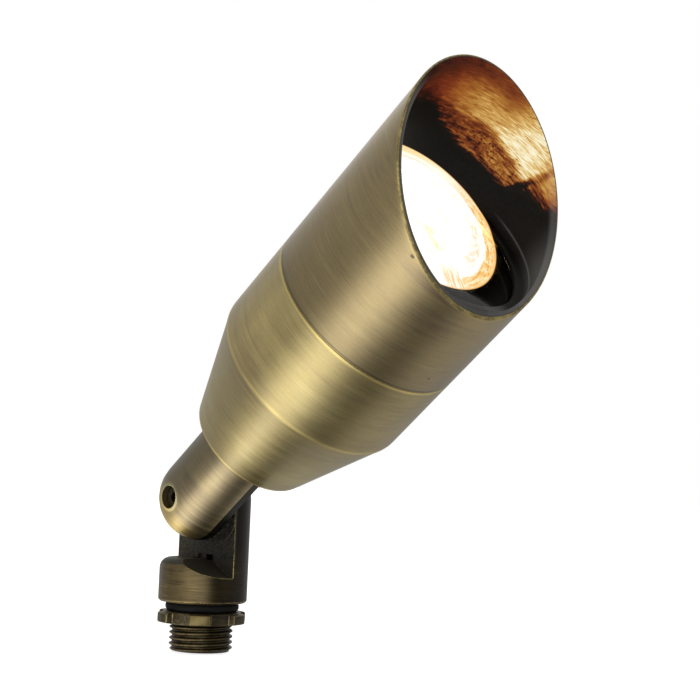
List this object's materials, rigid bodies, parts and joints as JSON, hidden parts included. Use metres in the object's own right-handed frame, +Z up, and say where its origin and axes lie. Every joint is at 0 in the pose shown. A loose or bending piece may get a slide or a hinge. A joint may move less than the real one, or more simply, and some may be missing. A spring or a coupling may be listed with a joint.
{
  "type": "garden spotlight head",
  "caption": "Brass bullet spotlight head with an oblique shroud, screwed lens end, serrated tilting knuckle and threaded nipple with gasket and lock nut",
  "frame": {"origin": "bottom centre of the threaded nipple", "axes": "+Z up along the nipple, tilt axis along Y, head leans towards +X and carries its clamp screw on the -Y side"},
  "size_m": [0.1382, 0.0652, 0.1813],
  "materials": {
    "brass_body": "turned, brushed round the axis and antiqued, with bright worn edges",
    "brass_arm": "cast and tumbled, lightly antiqued",
    "brass_dark": "cast, dark brown patina, bright thread crests",
    "black_rubber": "smooth moulded",
    "stainless": "plain",
    "contact_metal": "tinned",
    "ceramic_white": "unglazed ceramic",
    "lead_sleeve": "woven glass sleeve",
    "reflector": "faceted dichroic coating on glass",
    "clear_glass": "clear"
  },
  "bodies": {
    "base": {"lower_knuckle": "brass_dark"},
    "gasket": {"base_gasket": "black_rubber"},
    "nut": {"lock_nut": "brass_dark"},
    "washer": {"lock_washer": "stainless"},
    "screw": {"knuckle_screw": "stainless"},
    "head": {"upper_knuckle": "brass_arm", "arm_oring": "black_rubber", "housing": "brass_body", "housing_oring": "black_rubber", "wire_seal": "black_rubber", "socket_bracket": "stainless", "bracket_screws": "stainless", "socket_body": "ceramic_white", "socket_screws": "stainless", "socket_contacts": "contact_metal", "socket_leads": "lead_sleeve", "crimp_splices": "contact_metal"},
    "lamp": {"lamp_reflector": "reflector", "lamp_glass": "clear_glass", "lamp_capsule": "clear_glass", "lamp_base": "ceramic_white", "lamp_pins": "contact_metal"},
    "lens_carrier": {"lens": "clear_glass", "lens_gasket": "black_rubber"},
    "shroud": {"shroud": "brass_body", "lens_ring": "stainless"}
  },
  "joints": [
    {"name": "knuckle_tilt", "type": "hinge", "parent": "base", "child": "head", "pos_m": [0, 0, 0.0503], "axis": [0, 1, 0], "range_deg": [-142, 63]},
    {"name": "gasket_travel", "type": "slide", "parent": "base", "child": "gasket", "axis": [0, 0, -1], "range_m": [0, 0.00726]},
    {"name": "lock_nut_turn", "type": "hinge", "parent": "gasket", "child": "nut", "pos_m": [0, 0, 0.011], "axis": [0, 0, -1], "range_deg": [0, 1440]},
    {"name": "washer_travel", "type": "slide", "parent": "base", "child": "washer", "axis": [0, -1, 0], "range_m": [0, 0.0021]},
    {"name": "clamp_screw_turn", "type": "hinge", "parent": "washer", "child": "screw", "pos_m": [0, -0.012, 0.0503], "axis": [0, -1, 0], "range_deg": [0, 1080]},
    {"name": "lamp_pull", "type": "slide", "parent": "head", "child": "lamp", "axis": [0.788, 0, 0.6157], "range_m": [0, 0.0075]},
    {"name": "lens_travel", "type": "slide", "parent": "head", "child": "lens_carrier", "axis": [0.788, 0, 0.6157], "range_m": [0, 0.006]},
    {"name": "shroud_unscrew", "type": "hinge", "parent": "lens_carrier", "child": "shroud", "pos_m": [0.0788, -0.0024, 0.11187], "axis": [0.788, 0, 0.6157], "range_deg": [0, 1440]}
  ],
  "couplings": [
    {"joint": "lock_nut_turn", "follows": "gasket_travel", "rad_per_m": 3463.7},
    {"joint": "clamp_screw_turn", "follows": "washer_travel", "rad_per_m": 8976},
    {"joint": "shroud_unscrew", "follows": "lens_travel", "rad_per_m": 4188.8}
  ]
}
